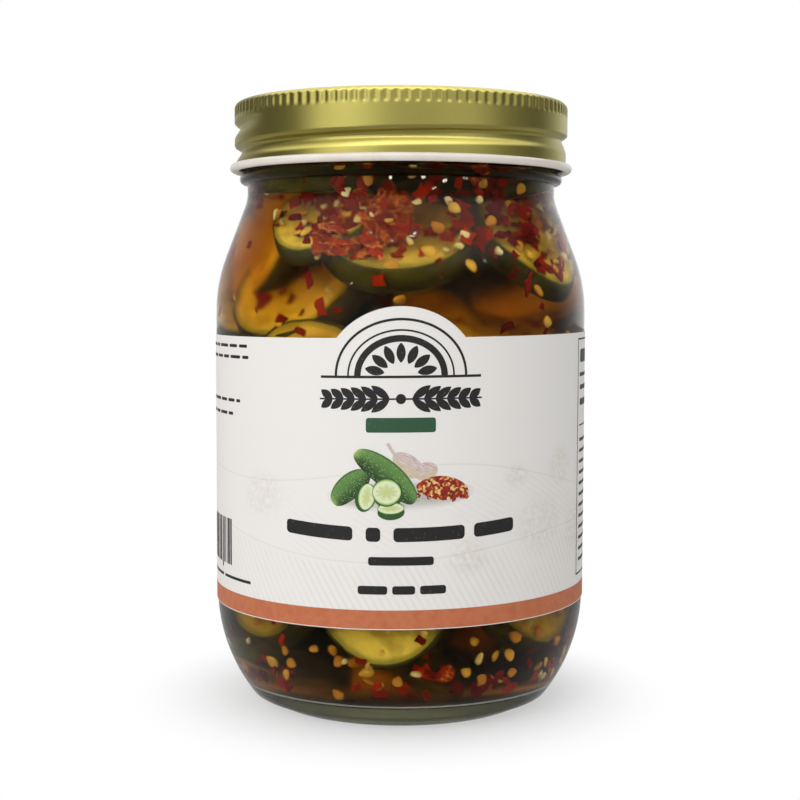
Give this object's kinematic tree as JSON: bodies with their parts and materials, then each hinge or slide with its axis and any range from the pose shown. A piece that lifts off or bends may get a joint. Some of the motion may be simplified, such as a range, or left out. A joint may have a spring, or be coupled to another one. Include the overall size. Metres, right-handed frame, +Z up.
{
  "type": "pickle jar",
  "caption": "Round glass jar of pickle slices in dark brine, with a knurled gold metal screw lid, a pale rolled edge and a wrap-round paper label with an arched tab.",
  "frame": {"origin": "centre of the foot, on the surface the jar stands on", "axes": "+Z up along the jar's axis, -Y towards the middle of the label"},
  "size_m": [0.0812, 0.0811, 0.1301],
  "materials": {
    "jar_glass": "clear, with a faint green tint where it is thick",
    "pickles_in_brine": "dark brown-green brine with yellow-green pickle slices and red pepper flakes",
    "gold_lacquered_metal": "satin gold lacquer, with cream enamel on the rolled edge",
    "label_paper": "smooth, slightly glossy white paper with a terracotta band"
  },
  "bodies": {
    "root": {"jar": "jar_glass", "contents": "pickles_in_brine", "lid": "gold_lacquered_metal", "label": "label_paper"}
  },
  "joints": []
}
